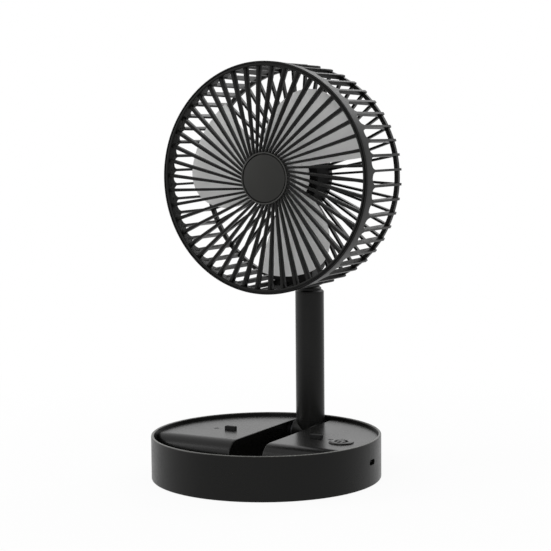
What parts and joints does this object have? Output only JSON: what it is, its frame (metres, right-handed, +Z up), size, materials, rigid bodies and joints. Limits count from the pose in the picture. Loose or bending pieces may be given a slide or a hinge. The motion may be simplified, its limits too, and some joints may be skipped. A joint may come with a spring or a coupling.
{
  "type": "folding desk fan",
  "caption": "Battery desk fan with a round caged head on a telescopic post that folds down into a round dish-shaped base with a push button and a charging port.",
  "frame": {"origin": "middle of the base's footprint, on the surface that the feet stand on", "axes": "+Z up, -Y the way the fan blows in the pictured pose, +X the side with the button and port"},
  "size_m": [0.19, 0.19, 0.3415],
  "materials": {
    "black_plastic": "fine matt moulded plastic",
    "deck_plastic": "satin moulded plastic",
    "hub_plastic": "fine matt moulded plastic",
    "blade_plastic": "light grey moulded plastic",
    "rubber": "soft matt rubber",
    "tube_metal": "black anodised",
    "bracket_metal": "black paint",
    "pin_steel": "ground steel",
    "socket_steel": "folded plated steel",
    "motor_steel": "zinc plated can",
    "bush_brass": "sintered bearing bush",
    "board": "circuit board",
    "cell_wrap": "shrink-wrapped cell",
    "nylon": "natural nylon"
  },
  "bodies": {
    "base": {"base_shell": "black_plastic", "base_deck": "deck_plastic", "rubber_feet": "rubber", "deck_bumpers": "rubber", "circuit_board": "board", "push_switch": "black_plastic", "charge_socket": "socket_steel", "battery_cells": "cell_wrap", "battery_cradles": "black_plastic", "post_hinge_bracket": "bracket_metal", "post_hinge_pin": "pin_steel", "post_hinge_washers": "nylon"},
    "button": {"power_button": "deck_plastic"},
    "post": {"post_knuckle": "black_plastic", "outer_tube": "black_plastic", "outer_collar": "black_plastic"},
    "middle": {"middle_tube": "tube_metal", "middle_glide": "nylon", "middle_collar": "black_plastic"},
    "neck": {"inner_tube": "tube_metal", "inner_glide": "nylon", "neck": "black_plastic"},
    "head": {"rear_cage": "black_plastic", "front_grille": "black_plastic", "hub_disc": "hub_plastic", "motor_housing": "black_plastic", "motor_cover": "black_plastic", "motor_can": "motor_steel", "motor_bush": "bush_brass", "head_bracket": "black_plastic", "head_hinge_caps": "black_plastic", "head_hinge_pin": "pin_steel", "head_hinge_washers": "nylon"},
    "fan": {"impeller": "blade_plastic", "motor_shaft": "pin_steel", "impeller_nut": "blade_plastic"}
  },
  "joints": [
    {"name": "post_fold", "type": "hinge", "parent": "base", "child": "post", "pos_m": [0, 0.0785, 0.0235], "axis": [1, 0, 0], "range_deg": [0, 90]},
    {"name": "middle_slide", "type": "slide", "parent": "post", "child": "middle", "axis": [0, 0, -1], "range_m": [-0.072, 0]},
    {"name": "inner_slide", "type": "slide", "parent": "middle", "child": "neck", "axis": [0, 0, -1], "range_m": [-0.072, 0]},
    {"name": "head_fold", "type": "hinge", "parent": "neck", "child": "head", "pos_m": [0, 0.0785, 0.17425], "axis": [1, 0, 0], "range_deg": [-180, 0]},
    {"name": "fan_spin", "type": "hinge", "parent": "head", "child": "fan", "pos_m": [0, 0.03, 0.2465], "axis": [0, 1, 0], "continuous": true},
    {"name": "power_press", "type": "slide", "parent": "base", "child": "button", "axis": [0, 0, -1], "range_m": [0, 0.0008], "stiffness_N_per_m": 800}
  ],
  "couplings": [
    {"joint": "head_fold", "follows": "post_fold", "ratio": -2}
  ]
}
